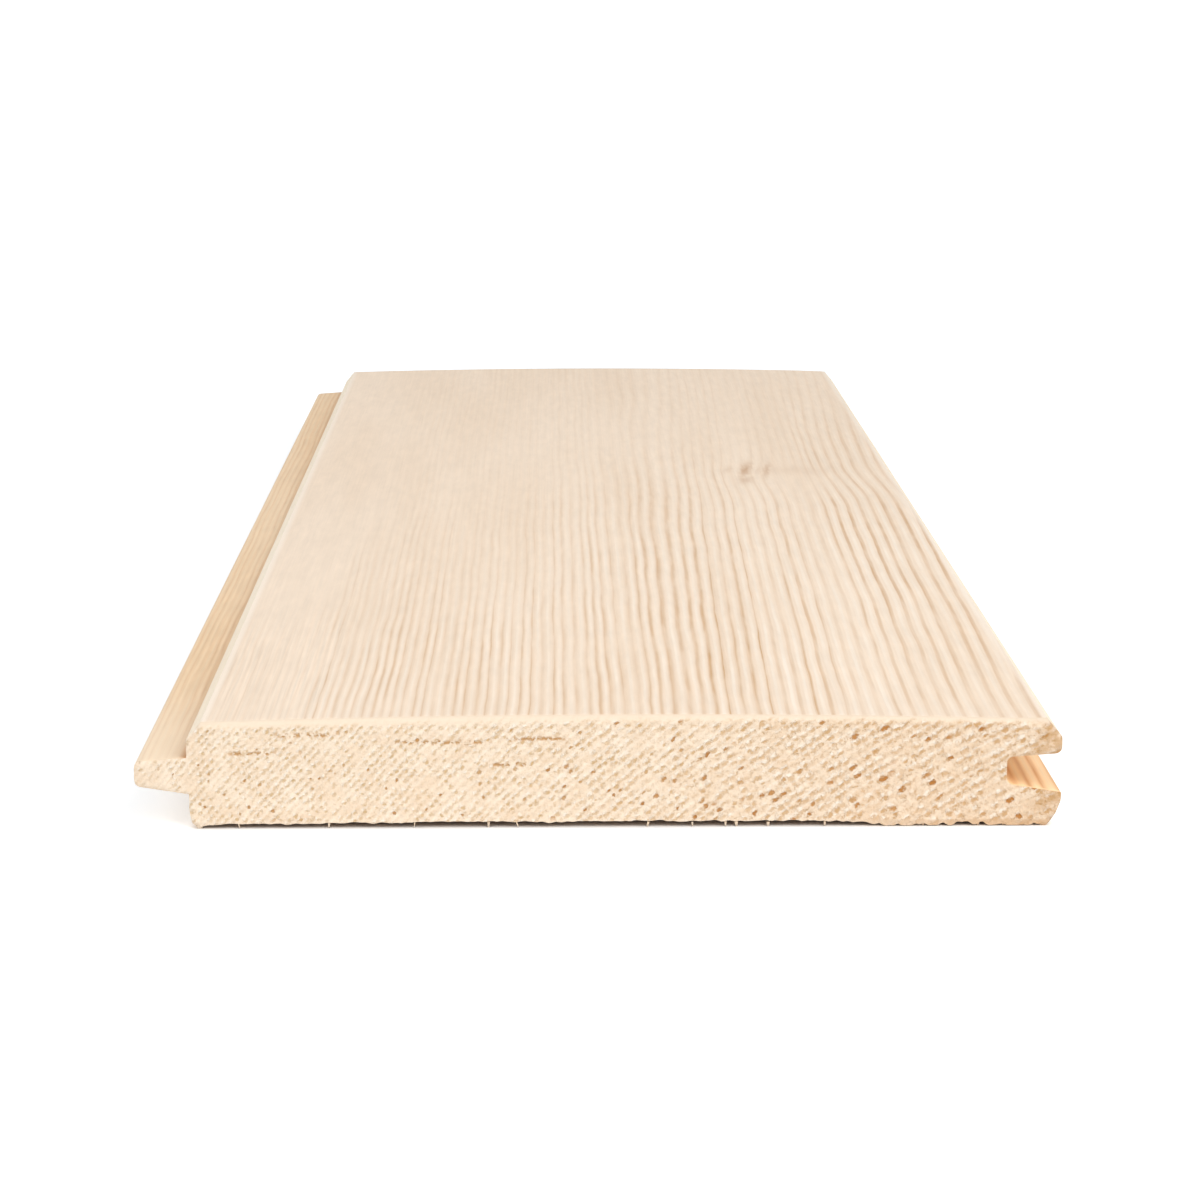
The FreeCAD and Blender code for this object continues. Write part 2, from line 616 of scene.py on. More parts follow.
@dataclass
class WoodPaint:
    """Builds the board's materials from the shared node groups."""

    rings: GrowthRings
    cells: TornCells
    fibres: LongFibres
    crest: float
    crown_rise: float
    middle: float
    half_face: float
    shoulder: float
    tongue_top: float
    half_length: float

    def __post_init__(self) -> None:
        """Builds the shared groups once."""
        self.ring_group = self.rings.group(Tree.SHADER)
        self.cell_group = self.cells.group(Tree.SHADER)
        self.fibre_group = self.fibres.group(Tree.SHADER)

    def start(self, name: str) -> tuple[bpy.types.Material, NodeMaker, Socket, bpy.types.Node]:
        """Starts a material.

        Args:
            name: The material's name.

        Returns:
            The material, its maker, the place in millimetres and its shader.
        """
        material = bpy.data.materials.new(name)
        material.use_nodes = True
        maker = NodeMaker(material.node_tree)
        material.node_tree.nodes.clear()
        shader = maker.node("ShaderNodeBsdfPrincipled")
        surface = maker.node("ShaderNodeOutputMaterial")
        maker.put(surface.inputs["Surface"], shader.outputs["BSDF"])
        coordinates = maker.node("ShaderNodeTexCoord")
        place = maker.stretched(coordinates.outputs["Object"], 1 / MM, 1 / MM, 1 / MM)
        return material, maker, place, shader

    def planed(self, finish: WoodFinish) -> bpy.types.Material:
        """Builds the material of a planed surface.

        Args:
            finish: The surface's colours and strengths.

        Returns:
            The material.
        """
        material, maker, place, shader = self.start(finish.name)
        rings = maker.grouped(self.ring_group, Place=place)
        fibres = maker.grouped(self.fibre_group, Place=place)
        x, y, z = maker.split(place)
        ground = maker.mixed(
            maker.step(fibres.outputs["Cloud"], 0.25, 0.75), linear(*finish.pale), linear(*finish.warm)
        )
        by_ring = maker.noise_along(maker.times(rings.outputs["Ring"], 1.7))
        by_length = maker.noise(maker.stretched(place, 1 / 6, 1 / 60, 1 / 6), 1.0)
        blotch = maker.noise(maker.stretched(place, 1 / 1.8, 1 / 24, 1 / 1.8), 2.0, 0.6)
        reach = maker.times(
            maker.add(maker.times(maker.step(by_length, 0.3, 0.7), 0.3), 0.7),
            maker.add(maker.times(maker.step(blotch, 0.34, 0.62), 0.48), 0.52),
            maker.less(1.0, maker.times(rings.outputs["Quiet"], 0.85)),
            maker.step(maker.math("ABSOLUTE", y), self.half_length - 0.5, self.half_length - 1.5),
            finish.line_strength,
        )
        streak = maker.times(maker.less(fibres.outputs["Streak"], 0.5), finish.streak_strength)
        line = rings.outputs["Line"]
        if finish.fades:
            ragged = maker.add(x, maker.times(maker.less(by_length, 0.5), 22.0))
            further = maker.add(y, maker.times(maker.step(ragged, 16.0, -24.0), 80.0))
            along_right = maker.add(
                maker.times(maker.bump_at(y, 68.0, 52.0), 0.42), maker.times(maker.bump_at(y, -50.0, 60.0), 0.3)
            )
            beside = maker.times(maker.step(x, 44.0, 54.0), along_right)
            front = maker.step(y, -115.0, -165.0)
            front_left = maker.times(maker.step(x, -39.0, -47.0), front)
            near = maker.add(
                maker.times(maker.step(x, -4.0, -14.0), 0.5),
                maker.times(maker.bump_at(x, 30.0, 14.0), 0.35),
                maker.times(maker.step(x, 42.0, 52.0), -0.2),
            )
            near = maker.add(maker.times(near, front), maker.times(front_left, 1.5))
            streak = maker.times(streak, maker.add(maker.times(front_left, 1.4), 1.0))
            crisp = maker.less(maker.step(line, 0.35, 1.0), line)
            line = maker.add(line, maker.times(crisp, maker.step(x, 8.0, 42.0)))
            reach = maker.times(
                reach,
                maker.add(near, 1.0),
                maker.add(maker.times(maker.step(ragged, -50.0, -36.0), 0.86), 0.14),
                maker.add(maker.times(maker.step(ragged, -14.0, 14.0), 0.42), 0.58),
                maker.add(maker.times(maker.step(further, 95.0, -95.0), 0.82), beside, 0.18),
            )
        stronger = maker.times(maker.step(x, 45.0, 62.0), 0.35)
        weight = maker.add(maker.times(maker.step(by_ring, 0.35, 0.65), 0.66), stronger, 0.36)
        strength = maker.times(line, weight, reach)
        colour = maker.mixed(strength, ground, linear(*finish.line))
        colour = maker.mixed(maker.times(rings.outputs["Crest"], reach, 0.6), colour, linear(*finish.crest))
        mottle = maker.noise(maker.stretched(place, 1 / 1.8, 1 / 11, 1 / 1.8), 3.0, 0.65)
        shade = maker.add(streak, maker.times(maker.less(mottle, 0.5), 0.17))
        if finish.fades:
            duller = maker.add(
                maker.times(maker.step(y, 40.0, -200.0), 0.012), maker.times(maker.bump_at(y, -40.0, 100.0), 0.014)
            )
            shade = maker.less(shade, maker.times(maker.step(x, -30.0, -48.0), duller))
        colour = self.shaded(maker, colour, shade)
        colour = maker.mixed(maker.times(rings.outputs["Knot"], 0.72), colour, linear(192, 146, 102))
        # Painted highlight: a pale band along both edges of the face, beside the chamfers.
        if finish.painted_edge_highlight:
            off = maker.math("ABSOLUTE", maker.less(x, self.middle))
            edges = maker.times(maker.step(off, self.half_face - 1.5, self.half_face - 0.2), finish.painted_edge_highlight)
            colour = maker.mixed(edges, colour, linear(*finish.crest))
        if finish.painted_root_shade:
            # Lighter towards the front end of the tongue.
            worn = maker.times(maker.step(y, -150.0, -self.half_length), 0.5)
            colour = maker.mixed(worn, colour, linear(*finish.crest))
            # Painted shade: the corner where the tongue's top meets the shoulder is darkened with the line colour.
            root = maker.times(
                maker.bump_at(x, self.shoulder, 0.9), maker.bump_at(z, self.tongue_top, 0.9), finish.painted_root_shade
            )
            colour = maker.mixed(root, colour, linear(*finish.line))
        maker.put(shader.inputs["Base Color"], colour)
        shader.inputs["Roughness"].default_value = finish.roughness
        shader.inputs["Specular IOR Level"].default_value = 0.3
        self.relief(maker, shader, maker.add(fibres.outputs["Streak"], maker.times(strength, -1.2)), finish.fibre_relief)
        return material

    def sawn(self, finish: SawnFinish) -> bpy.types.Material:
        """Builds the material of the sawn ends.

        Args:
            finish: Its colours.

        Returns:
            The material.
        """
        material, maker, place, shader = self.start(finish.name)
        rings = maker.grouped(self.ring_group, Place=self.torn_place(maker, place))
        cells = maker.grouped(
            self.cell_group, Place=place, Count=rings.outputs["Count"], Around=rings.outputs["Around"]
        )
        x, y, z = maker.split(place)
        patches = maker.noise(maker.stretched(place, 1 / 5, 0.0, 1 / 3), 4.0, 0.7)
        browner = maker.add(maker.times(maker.step(patches, 0.36, 0.64), 0.7), maker.times(maker.step(x, 0.0, 66.0), 0.6))
        ground = maker.mixed(browner, linear(*finish.pale), linear(*finish.warm))
        grit = maker.noise(maker.stretched(place, 1.7, 1.7, 1.7), 4.0, 0.75)
        broken = maker.step(cells.outputs["Lump"], 0.38, 0.6)
        colour = maker.mixed(maker.times(rings.outputs["Line"], 0.1), ground, linear(*finish.mark))
        # Painted highlight: pale streaks along the crests of the rings, broken into lumps.
        colour = maker.mixed(maker.times(rings.outputs["Crest"], broken, 0.3), colour, linear(*finish.crest))
        # Painted highlight: the raised rim beside each mark is painted pale.
        colour = maker.mixed(maker.times(cells.outputs["RimHighlight"], 0.7), colour, linear(*finish.crest))
        edge = maker.times(maker.step(x, 66.0, 71.0), maker.step(patches, 0.34, 0.56), 0.6)
        colour = maker.mixed(edge, colour, linear(*finish.burnt))
        stain = maker.mixed(maker.step(x, -40.0, 70.0), linear(*finish.mark), linear(*finish.burnt))
        colour = maker.mixed(maker.times(cells.outputs["Mark"], 0.9), colour, stain)
        colour = maker.mixed(maker.times(cells.outputs["Deep"], 0.8), colour, linear(*finish.deep))
        colour = self.shaded(maker, colour, maker.times(maker.less(grit, 0.5), 0.4))
        below_face = maker.add(
            self.below_face(maker, x, z),
            maker.times(maker.less(patches, 0.5), 1.4),
            maker.times(maker.step(x, -30.0, 50.0), 0.35),
        )
        eased = maker.times(maker.step(below_face, 1.3, 0.5), 0.9)
        lip = maker.step(z, 1.25, 0.85)
        lip_colour = maker.mixed(maker.step(x, 25.0, 66.0), linear(*finish.smooth), linear(*finish.lip))
        colour = maker.mixed(maker.times(lip, 0.75), colour, lip_colour)
        colour = maker.mixed(eased, colour, linear(*finish.smooth))
        # Painted shade: the underside of the torn lip, inside the recess, is painted dark brown.
        inside = maker.step(maker.math("ABSOLUTE", y), self.half_length - 0.4, self.half_length - 1.4)
        colour = maker.mixed(maker.times(inside, maker.step(z, 1.8, 1.4)), colour, linear(*finish.recess))
        maker.put(shader.inputs["Base Color"], colour)
        shader.inputs["Roughness"].default_value = finish.roughness
        shader.inputs["Specular IOR Level"].default_value = 0.25
        rough = maker.noise(maker.stretched(place, 3.1, 3.1, 3.1), 3.0, 0.65)
        height = maker.add(
            maker.times(cells.outputs["Mark"], -0.5),
            maker.times(cells.outputs["Deep"], -0.5),
            maker.times(cells.outputs["RimHighlight"], 0.4),
            maker.times(rough, 1.0),
        )
        flat = maker.less(1.0, eased)
        self.relief(maker, shader, maker.times(height, flat), 0.14)
        return material

    def torn_place(self, maker: NodeMaker, place: Socket) -> Socket:
        """The place shaken a little, so that the rings break up as sawn fibres do."""
        x, y, z = maker.split(place)
        side = maker.noise(maker.stretched(place, 0.9, 0.9, 0.9), 3.0, 0.65)
        up = maker.noise(maker.stretched(place, 0.95, -0.95, 0.85), 3.0, 0.65)
        reach = maker.add(maker.times(maker.step(x, -30.0, 50.0), 0.16), 0.7)
        moved_x = maker.add(x, maker.times(maker.less(side, 0.5), reach))
        moved_z = maker.add(z, maker.times(maker.less(up, 0.5), reach))
        return maker.vector(moved_x, y, moved_z)

    def below_face(self, maker: NodeMaker, x: Socket, z: Socket) -> Socket:
        """The distance below the crowned face."""
        off = maker.math("DIVIDE", maker.less(x, self.middle), self.half_face)
        fall = maker.times(off, off, self.crown_rise)
        return maker.less(maker.less(self.crest, fall), z)

    def shaded(self, maker: NodeMaker, colour: Socket, amount: Socket) -> Socket:
        """A colour made lighter or darker by a small amount about 0."""
        new = maker.node("ShaderNodeHueSaturation")
        maker.put(new.inputs["Color"], colour)
        maker.put(new.inputs["Value"], maker.add(amount, 1.0))
        return new.outputs[0]

    def relief(self, maker: NodeMaker, shader: bpy.types.Node, height: Socket, depth: float) -> None:
        """Gives a shader its fine relief.

        Args:
            maker: Adds the nodes.
            shader: The Principled shader.
            height: The relief, about 0 to 1.
            depth: The height of 1, in millimetres.
        """
        bump = maker.node("ShaderNodeBump")
        bump.inputs["Strength"].default_value = 1.0
        bump.inputs["Distance"].default_value = depth * MM
        maker.put(bump.inputs["Height"], height)
        maker.put(shader.inputs["Normal"], bump.outputs["Normal"])

    def all(self) -> list[bpy.types.Material]:
        """The materials in the order of Surface."""
        return [
            self.planed(FACE_FINISH),
            self.planed(CHAMFER_FINISH),
            self.planed(JOINT_FINISH),
            self.sawn(SawnFinish()),
            self.planed(BACK_FINISH),
            self.planed(GROOVE_FINISH),
        ]


@dataclass
class BoardSection:
    """The board's section across the grain, in millimetres."""

    left: float
    right: float
    crest: float
    tongue_length: float = 8.2
    tongue_root: float = 5.8
    tongue_height: float = 8.5
    top_taper: float = 4.0
    under_taper: float = 9.0
    corner: float = 0.9
    back_relief: float = 0.3
    clearance: float = 0.25
    end_gap: float = 0.4
    lip_ease: float = 1.0
    chamfer_width: float = 2.3
    chamfer_depth: float = 2.8
    crown_rise: float = 0.9
    crown_cuts: int = 31
    grid: float = 0.42

    def __post_init__(self) -> None:
        """Works out the heights and widths that follow."""
        self.shoulder = self.left + self.tongue_length
        self.middle = (self.shoulder + self.right) / 2
        self.face_edge = self.crest - self.crown_rise
        self.chamfer_foot = self.face_edge - self.chamfer_depth
        self.tongue_top = self.tongue_height + self.tongue_root / 2
        self.half_face = (self.right - self.shoulder) / 2 - self.chamfer_width

    def corners(self) -> list[tuple[float, float, float]]:
        """The corners in order, each with its place across, its height and its rounding."""
        top_slope = math.tan(math.radians(self.top_taper))
        under_slope = math.tan(math.radians(self.under_taper))
        top = self.tongue_top
        under = self.tongue_height - self.tongue_root / 2
        depth = self.tongue_length + self.end_gap
        root = self.right - depth
        low = self.shoulder + self.back_relief
        return [
            (low + 1.4, 0.0, 0.3),
            (low + 0.36, 0.96, 0.3),
            (low, 2.7, 0.5),
            (low, under - self.back_relief * under_slope, 0.0),
            (self.left, under + self.tongue_length * under_slope, self.corner),
            (self.left, top - self.tongue_length * top_slope, self.corner),
            (self.shoulder, top, 0.0),
            (self.shoulder, self.chamfer_foot, 0.15),
            (self.shoulder + self.chamfer_width, self.face_edge, 0.0),
            (self.right - self.chamfer_width, self.face_edge, 0.0),
            (self.right, self.chamfer_foot, 0.15),
            (self.right, top + self.clearance, self.lip_ease),
            (root, top + self.clearance - depth * top_slope, self.corner),
            (root, under - self.clearance + depth * under_slope, self.corner),
            (self.right, under - self.clearance, 0.12),
            (self.right, 4.0, 0.5),
            (self.right - 0.84, 1.86, 0.3),
            (self.right - 2.2, 0.0, 0.3),
        ]

    def face_height(self, x: float) -> float:
        """The height of the crowned face at a place across the board."""
        off = (x - self.middle) / self.half_face
        return self.face_edge + self.crown_rise * (1 - off * off)

    def draw(self, mesh: bmesh.types.BMesh, y: float) -> None:
        """Draws the section as one face and cuts it into a grid.

        Args:
            mesh: The mesh that it goes in.
            y: Where along the board it stands.
        """
        corners = self.corners()
        points = [mesh.verts.new((x, y, z)) for x, z, _ in corners]
        bmesh.ops.contextual_create(mesh, geom=points)
        for point, (_, _, size) in zip(points, corners):
            if size:
                bmesh.ops.bevel(
                    mesh, geom=[point], affect="VERTICES", offset=size, segments=4, profile=0.5, material=-1
                )
        crown = [e for e in mesh.edges if all(abs(v.co.z - self.face_edge) < 1e-4 for v in e.verts)]
        bmesh.ops.subdivide_edges(mesh, edges=crown, cuts=self.crown_cuts)
        for vert in mesh.verts:
            if abs(vert.co.z - self.face_edge) < 1e-4:
                vert.co.z = self.face_height(vert.co.x)
        self.cut(mesh, Vector((1, 0, 0)), self.left, self.right)
        self.cut(mesh, Vector((0, 0, 1)), 0.0, self.crest)

    def cut(self, mesh: bmesh.types.BMesh, way: Vector, low: float, high: float) -> None:
        """Cuts the section by evenly spaced planes.

        Args:
            mesh: The section's mesh.
            way: The direction that the planes face.
            low: Where the section starts in that direction.
            high: Where it ends.
        """
        count = round((high - low) / self.grid)
        for number in range(1, count):
            at = low + (high - low) * number / count
            faces = [f for f in mesh.faces if any(v.co.dot(way) > at for v in f.verts)]
            edges = {e for f in faces for e in f.edges}
            verts = {v for f in faces for v in f.verts}
            bmesh.ops.bisect_plane(
                mesh, geom=[*verts, *edges, *faces], dist=1e-4, plane_co=way * at, plane_no=way
            )


@dataclass
class SoftwoodBoard:
    """The whole board as one mesh, with its sawn ends and its relief."""

    section: BoardSection
    rings: GrowthRings
    cells: TornCells
    paint: WoodPaint
    half_length: float
    row_step: float = 4.2
    arris: float = 0.9
    lower_arris: float = 0.25
    worn_corner: float = 0.9
    lip_left: float = 0.72
    lip_middle: float = 0.98
    lip_right: float = 0.32
    recess: float = 9.0
    shallow_recess: float = 2.2
    pit_depth: float = 0.16
    wave_depth: float = 0.012

    def build(self) -> bpy.types.Object:
        """Builds the board.

        Returns:
            The finished object, in metres, in the row's frame.
        """
        mesh = bmesh.new()
        self.section.draw(mesh, -self.half_length)
        self.draw_out(mesh)
        self.sort_surfaces(mesh)
        self.plain_back(mesh)
        self.mark_weights(mesh)
        self.ease_end(mesh, -1)
        self.ease_end(mesh, 1)
        bmesh.ops.recalc_face_normals(mesh, faces=mesh.faces[:])
        bmesh.ops.scale(mesh, vec=(MM, MM, MM), verts=mesh.verts[:])
        data = bpy.data.meshes.new("softwood_board")
        mesh.to_mesh(data)
        mesh.free()
        board = bpy.data.objects.new("softwood_board", data)
        bpy.context.scene.collection.objects.link(board)
        for material in self.paint.all():
            data.materials.append(material)
        self.add_relief(board)
        return board

    def rows(self) -> list[float]:
        """Distances from the front end to each row of vertices after the first."""
        length = 2 * self.half_length
        close = [2.2, 3.6]
        count = round((length - 2 * close[-1]) / self.row_step)
        span = (length - 2 * close[-1]) / count
        even = [close[-1] + span * number for number in range(1, count)]
        return close + even + [length - close[1], length - close[0], length]

    def draw_out(self, mesh: bmesh.types.BMesh) -> None:
        """Draws the section out along the grain and closes the far end."""
        front = mesh.faces[:]
        edges = [e for e in mesh.edges if e.is_boundary]
        reached = 0.0
        for row in self.rows():
            new = bmesh.ops.extrude_edge_only(mesh, edges=edges)["geom"]
            verts = [item for item in new if isinstance(item, bmesh.types.BMVert)]
            bmesh.ops.translate(mesh, vec=(0, row - reached, 0), verts=verts)
            edges = [item for item in new if isinstance(item, bmesh.types.BMEdge) and item.is_boundary]
            reached = row
        copy = bmesh.ops.duplicate(mesh, geom=front)["geom"]
        verts = [item for item in copy if isinstance(item, bmesh.types.BMVert)]
        bmesh.ops.translate(mesh, vec=(0, reached, 0), verts=verts)
        bmesh.ops.remove_doubles(mesh, verts=mesh.verts[:], dist=1e-3)

    def sort_surfaces(self, mesh: bmesh.types.BMesh) -> None:
        """Gives each face the finish of its surface."""
        section = self.section
        for face in mesh.faces:
            centre = face.calc_center_median()
            face.smooth = True
            if abs(abs(centre.y) - self.half_length) < 1e-3:
                surface = Surface.END
            elif centre.z < 1e-3:
                surface = Surface.BACK
            elif centre.z > section.face_edge - 1e-3:
                surface = Surface.FACE
            elif centre.z > section.chamfer_foot - 0.05:
                surface = Surface.CHAMFER
            elif section.right - section.tongue_length - 1 < centre.x < section.right - 0.01 and centre.z > 5:
                surface = Surface.GROOVE
            else:
                surface = Surface.JOINT
            face.material_index = surface.value

    def plain_back(self, mesh: bmesh.types.BMesh) -> None:
        """Makes the flat back one face."""
        back = [f for f in mesh.faces if f.material_index == Surface.BACK.value]
        bmesh.ops.dissolve_faces(mesh, faces=back, use_verts=False)

    def mark_weights(self, mesh: bmesh.types.BMesh) -> None:
        """Marks where the pits and the ring waves go."""
        ends = mesh.verts.layers.float.new("end_grain")
        waves = mesh.verts.layers.float.new("ring_wave")
        for vert in mesh.verts:
            kinds = {f.material_index for f in vert.link_faces}
            if kinds == {Surface.END.value}:
                vert[ends] = 1.0
            elif kinds == {Surface.FACE.value}:
                vert[waves] = 1.0
            elif Surface.FACE.value in kinds and Surface.END.value in kinds:
                vert[waves] = 0.6

    def ease_end(self, mesh: bmesh.types.BMesh, side: int) -> None:
        """Eases the arris round a sawn end and tears its lower edge.

        Args:
            mesh: The board's mesh.
            side: -1 for the front end, 1 for the far one.
        """
        at = self.half_length * side
        verts = [v for v in mesh.verts if abs(v.co.y - at) < 1e-3]
        rim = [v for v in verts if any(f.material_index != Surface.END.value for f in v.link_faces)]
        tree = kdtree.KDTree(len(rim))
        for number, vert in enumerate(rim):
            tree.insert((vert.co.x, 0, vert.co.z), number)
        tree.balance()
        inward = {}
        for vert in verts:
            near, _, away = tree.find((vert.co.x, 0, vert.co.z))
            size = self.arris_size(near)
            if away < size:
                left = size - away
                inward[vert] = size - math.sqrt(max(size * size - left * left, 0.0))
        for vert, move in inward.items():
            vert.co.y -= side * move
        self.tear_lip(verts, side)

    def arris_size(self, near: Vector) -> float:
        """How far the arris is eased at a place on the rim of a sawn end."""
        section = self.section
        worn = self.arris + self.worn_corner * max(near.x - section.right + 9.0, 0.0) / 9.0
        up = (near.z - section.chamfer_foot + 0.5) / (section.chamfer_depth + 0.5)
        return self.lower_arris + (worn - self.lower_arris) * min(max(up, 0.0), 1.0)

    def tear_lip(self, verts: list[bmesh.types.BMVert], side: int) -> None:
        """Tears the lower edge of a sawn end, so that a ragged lip hangs over a recess."""
        section = self.section
        first = section.shoulder + section.back_relief + 1.9
        last = section.right - 2.9
        lowest, reach = section.grid, 2.2
        for vert in verts:
            x, _, z = vert.co
            if not first < x < last or z > reach:
                continue
            share = (x - first) / (last - first)
            lip = self.lip_left + (self.lip_middle - self.lip_left) * min(share / 0.3, 1.0)
            notched = min(max(share - 0.7, 0.0) / 0.12, 1.0)
            lip += (self.lip_right - self.lip_middle) * notched
            lip += noise.noise((x * 0.16, side * 3.0, 0.5)) * 0.16
            lip = max(lip + noise.noise((x * 0.9, side * 5.0, 2.5)) * (0.2 + 0.45 * notched), 0.12)
            ends = min((x - first) / 1.5, (last - x) / 1.5, 1.0)
            if z < 1e-3:
                depth = self.recess + (self.shallow_recess - self.recess) * notched
                vert.co.y -= side * depth * ends
            else:
                raised = lip + (z - lowest) * (reach - lip) / (reach - lowest)
                vert.co.z += (raised - z) * ends

    def add_relief(self, board: bpy.types.Object) -> None:
        """Presses the pits and the ring waves into the mesh.

        Args:
            board: The board's object. Its mesh is replaced.
        """
        tree = bpy.data.node_groups.new("wood_relief", Tree.GEOMETRY.value)
        tree.interface.new_socket("Geometry", in_out="INPUT", socket_type="NodeSocketGeometry")
        tree.interface.new_socket("Geometry", in_out="OUTPUT", socket_type="NodeSocketGeometry")
        maker = NodeMaker(tree)
        source = maker.node("NodeGroupInput")
        out = maker.node("NodeGroupOutput")
        place = maker.stretched(maker.node("GeometryNodeInputPosition").outputs[0], 1 / MM, 1 / MM, 1 / MM)
        rings = maker.grouped(self.rings.group(Tree.GEOMETRY), Place=self.paint.torn_place(maker, place))
        waves = maker.grouped(self.rings.group(Tree.GEOMETRY), Place=place)
        cells = maker.grouped(
            self.cells.group(Tree.GEOMETRY),
            Place=place,
            Count=rings.outputs["Count"],
            Around=rings.outputs["Around"],
        )
        rough = maker.noise(maker.stretched(place, 0.8, 0.8, 0.8), 2.0)
        pits = maker.add(
            maker.times(cells.outputs["Mark"], 0.2), maker.times(cells.outputs["Deep"], 0.8), maker.times(rough, 0.6)
        )
        clear = maker.times(
            maker.step(self.paint.below_face(maker, *maker.split(place)[::2]), 0.8, 1.4),
            maker.step(maker.split(place)[2], 0.9, 1.5),
        )
        depth = maker.add(
            maker.times(pits, clear, self.weight(maker, "end_grain"), self.pit_depth * MM),
            maker.times(waves.outputs["Line"], self.weight(maker, "ring_wave"), self.wave_depth * MM),
        )
        inward = maker.node("ShaderNodeVectorMath", operation="SCALE")
        maker.put(inward.inputs[0], maker.node("GeometryNodeInputNormal").outputs[0])
        maker.put(inward.inputs["Scale"], maker.times(depth, -1.0))
        press = maker.node("GeometryNodeSetPosition")
        maker.put(press.inputs["Geometry"], source.outputs[0])
        maker.put(press.inputs["Offset"], inward.outputs[0])
        maker.put(out.inputs[0], press.outputs[0])
        modifier = board.modifiers.new("wood_relief", "NODES")
        modifier.node_group = tree
        shown = board.evaluated_get(bpy.context.evaluated_depsgraph_get())
        relieved = bpy.data.meshes.new_from_object(shown)
        board.modifiers.clear()
        plain = board.data
        board.data = relieved
        bpy.data.meshes.remove(plain)
        relieved.name = "softwood_board"
        relieved.set_sharp_from_angle(angle=math.radians(46))

    def weight(self, maker: NodeMaker, name: str) -> Socket:
        """Reads one of the weights that were marked on the vertices."""
        new = maker.node("GeometryNodeInputNamedAttribute", data_type="FLOAT")
        new.inputs["Name"].default_value = name
        return new.outputs["Attribute"]


@dataclass
class Splinters:
    """The short fibres that hang from the torn lower edge of the front end."""

    board: SoftwoodBoard
    material: bpy.types.Material
    places: tuple[float, ...] = (
        -56.4, -42.3, -28.9, -17.3, -12.8, 7.7, 14.7, 19.9, 21.6, 26.6, 35.5, 45.8, 51.0, 55.2, 59.6, 63.5, 66.2,
    )

    def build(self) -> bpy.types.Object:
        """Builds the fibres as one object.

        Returns:
            The object, in metres, in the row's frame.
        """
        mesh = bmesh.new()
        front = -self.board.half_length
        for number, x in enumerate(self.places):
            length = 0.62 + 0.22 * noise.noise((number * 1.7, 0.3, 0.1)) - 0.003 * x
            width = 0.23 + 0.26 * noise.noise((number * 2.3, 4.1, 0.2))
            tilt = Matrix.Rotation(0.5 * noise.noise((number * 3.1, 0.7, 6.0)), 4, "Y")
            place = Matrix.Translation((x, front + width + 0.1, length / 2 + 0.16)) @ tilt
            bmesh.ops.create_cone(
                mesh, cap_ends=True, segments=6, radius1=width * 0.5, radius2=width, depth=length + 0.2, matrix=place
            )
        bmesh.ops.scale(mesh, vec=(MM, MM, MM), verts=mesh.verts[:])
        for face in mesh.faces:
            face.smooth = True
        data = bpy.data.meshes.new("edge_fibres")
        mesh.to_mesh(data)
        mesh.free()
        data.materials.append(self.material)
        fibres = bpy.data.objects.new("edge_fibres", data)
        bpy.context.scene.collection.objects.link(fibres)
        return fibres


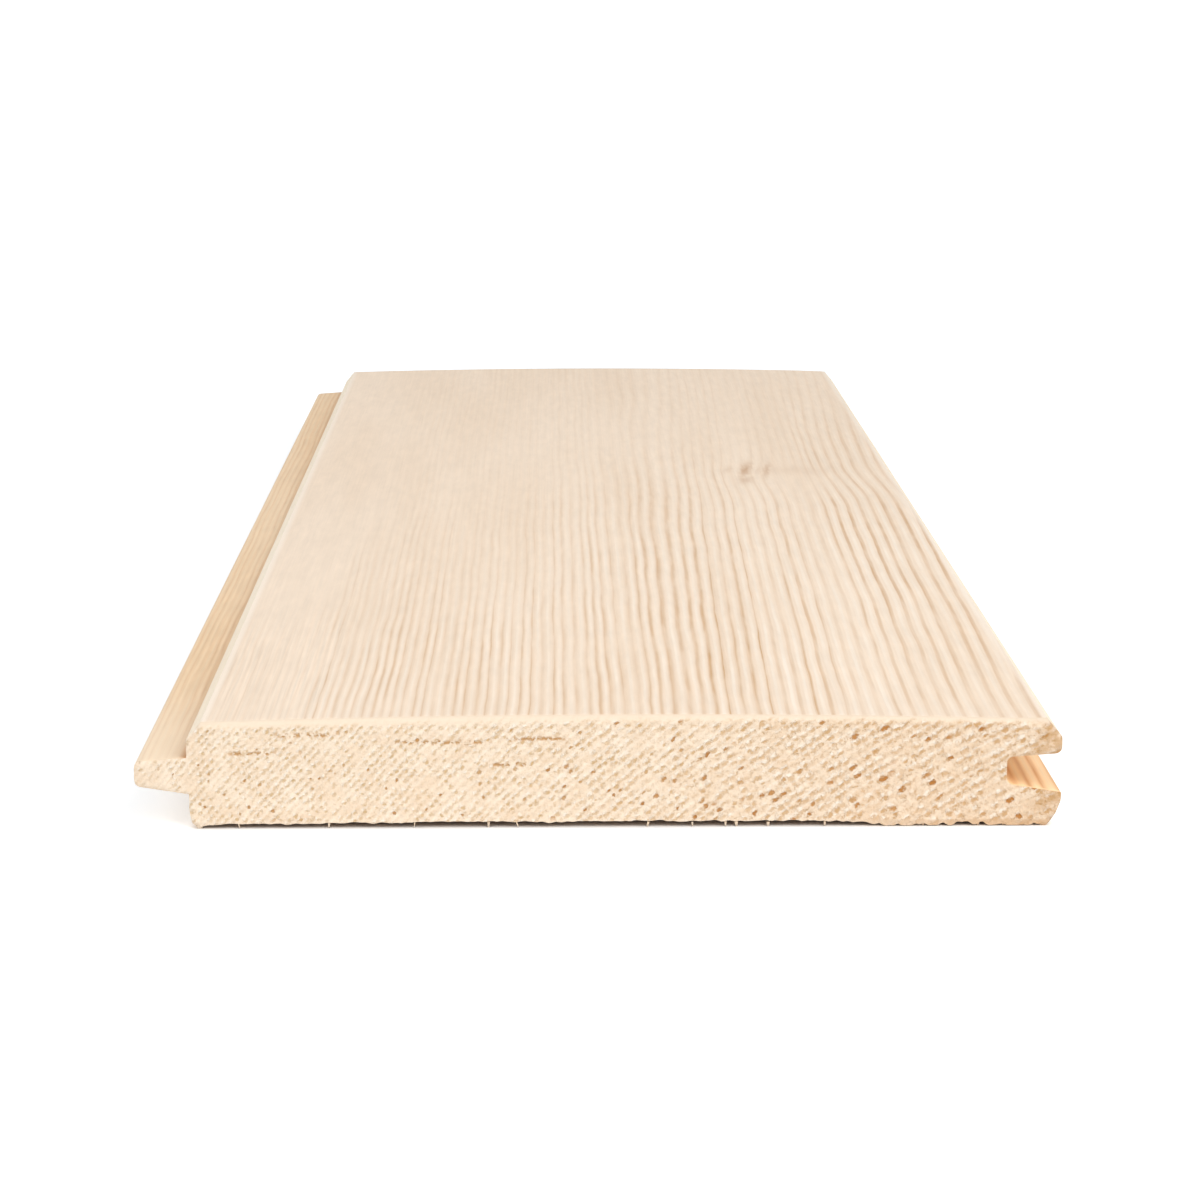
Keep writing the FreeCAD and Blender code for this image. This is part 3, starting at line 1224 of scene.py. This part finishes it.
@dataclass
class Studio:
    """The white floor, the soft light and the camera."""

    foot_left: float
    foot_right: float
    half_length: float
    floor_size: float = 60.0
    sky: float = 0.69
    lens: float = 99.21
    camera_place: tuple[float, float, float] = (-0.00795, -0.7143, 0.13694)
    pitch: float = 11.329
    yaw: float = 0.928

    def build(self) -> None:
        """Builds the floor, the lights, the world and the camera."""
        self.add_floor()
        self.add_lamp("key", (0.75, -0.95, 1.0), 1.0, 12.5)
        self.add_lamp("fill", (-1.1, -0.7, 0.9), 1.2, 7.0)
        self.add_world()
        self.add_camera()

    def add_floor(self) -> None:
        """Adds the white floor, which keeps the board's shadow."""
        mesh = bmesh.new()
        bmesh.ops.create_grid(mesh, x_segments=1, y_segments=1, size=self.floor_size / 2)
        data = bpy.data.meshes.new("floor")
        mesh.to_mesh(data)
        mesh.free()
        floor = bpy.data.objects.new("floor", data)
        bpy.context.scene.collection.objects.link(floor)
        material = bpy.data.materials.new("white_floor")
        material.use_nodes = True
        maker = NodeMaker(material.node_tree)
        material.node_tree.nodes.clear()
        paper = maker.node("ShaderNodeBsdfDiffuse")
        paper.inputs["Color"].default_value = (0.93, 0.93, 0.93, 1.0)
        glow = maker.node("ShaderNodeEmission")
        glow.inputs["Color"].default_value = (0.76, 0.89, 1.0, 1.0)
        place = maker.node("ShaderNodeTexCoord").outputs["Object"]
        x, y, _ = maker.split(place)
        outside = maker.math("MAXIMUM", maker.less(self.foot_left, x), maker.less(x, self.foot_right))
        outside = maker.math("MAXIMUM", outside, maker.less(maker.math("ABSOLUTE", y), self.half_length))
        beside = maker.times(maker.step(outside, 0.0, 0.002), 0.4)
        beyond = maker.times(maker.step(outside, 0.15, 1.2), 0.6)
        maker.put(glow.inputs["Strength"], maker.times(self.seen(maker), maker.add(beside, beyond)))
        both = maker.node("ShaderNodeAddShader")
        maker.put(both.inputs[0], paper.outputs[0])
        maker.put(both.inputs[1], glow.outputs[0])
        surface = maker.node("ShaderNodeOutputMaterial")
        maker.put(surface.inputs["Surface"], both.outputs[0])
        data.materials.append(material)

    def seen(self, maker: NodeMaker) -> Socket:
        """1 for rays from the camera, a reflection or glass, otherwise 0."""
        path = maker.node("ShaderNodeLightPath")
        either = maker.math("MAXIMUM", path.outputs["Is Camera Ray"], path.outputs["Is Glossy Ray"])
        return maker.math("MAXIMUM", either, path.outputs["Is Transmission Ray"])

    def add_lamp(self, name: str, place: tuple[float, float, float], size: float, power: float) -> None:
        """Adds a soft square lamp that points at the board.

        Args:
            name: The lamp's name.
            place: Where it stands, in metres.
            size: The length of its side, in metres.
            power: Its power, in watts.
        """
        data = bpy.data.lights.new(name, "AREA")
        data.shape = "SQUARE"
        data.size = size
        data.energy = power
        lamp = bpy.data.objects.new(name, data)
        bpy.context.scene.collection.objects.link(lamp)
        lamp.location = place
        lamp.rotation_euler = (-Vector(place)).to_track_quat("-Z", "Y").to_euler()

    def add_world(self) -> None:
        """Adds even light from all round, seen as white."""
        world = bpy.data.worlds.new("studio")
        world.use_nodes = True
        bpy.context.scene.world = world
        maker = NodeMaker(world.node_tree)
        world.node_tree.nodes.clear()
        light = maker.node("ShaderNodeBackground")
        strength = maker.add(maker.times(self.seen(maker), 1.0 - self.sky), self.sky)
        maker.put(light.inputs["Strength"], strength)
        out = maker.node("ShaderNodeOutputWorld")
        maker.put(out.inputs["Surface"], light.outputs[0])

    def add_camera(self) -> None:
        """Adds the camera at the photograph's angle."""
        data = bpy.data.cameras.new("camera")
        data.lens = self.lens
        data.sensor_width = 36.0
        data.clip_end = 200.0
        camera = bpy.data.objects.new("camera", data)
        bpy.context.scene.collection.objects.link(camera)
        camera.location = self.camera_place
        camera.rotation_euler = (math.radians(90 - self.pitch), 0.0, math.radians(-self.yaw))
        bpy.context.scene.camera = camera


def show_plainly() -> None:
    """Shows colours as they are written."""
    bpy.context.scene.view_settings.view_transform = "Standard"


def main() -> None:
    """Builds the board and the studio."""
    logging.basicConfig(level=logging.INFO, format="%(name)s: %(message)s")
    low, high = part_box("board")
    section = BoardSection(left=low[0] / MM, right=high[0] / MM, crest=high[2] / MM)
    rings = GrowthRings()
    cells = TornCells()
    paint = WoodPaint(
        rings,
        cells,
        LongFibres(),
        section.crest,
        section.crown_rise,
        section.middle,
        section.half_face,
        section.shoulder,
        section.tongue_top,
        half_length=high[1] / MM,
    )
    wood = SoftwoodBoard(section, rings, cells, paint, half_length=high[1] / MM)
    board = wood.build()
    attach(board, "root")
    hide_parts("board")
    log.info("board: %d faces, %d vertices", len(board.data.polygons), len(board.data.vertices))
    fibres = Splinters(wood, board.data.materials[Surface.END.value]).build()
    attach(fibres, "root")
    log.info("fibres: %d faces", len(fibres.data.polygons))
    foot = section.corners()
    Studio(foot_left=foot[0][0] * MM, foot_right=foot[-1][0] * MM, half_length=high[1]).build()
    show_plainly()


if __name__ == "__main__":
    main()
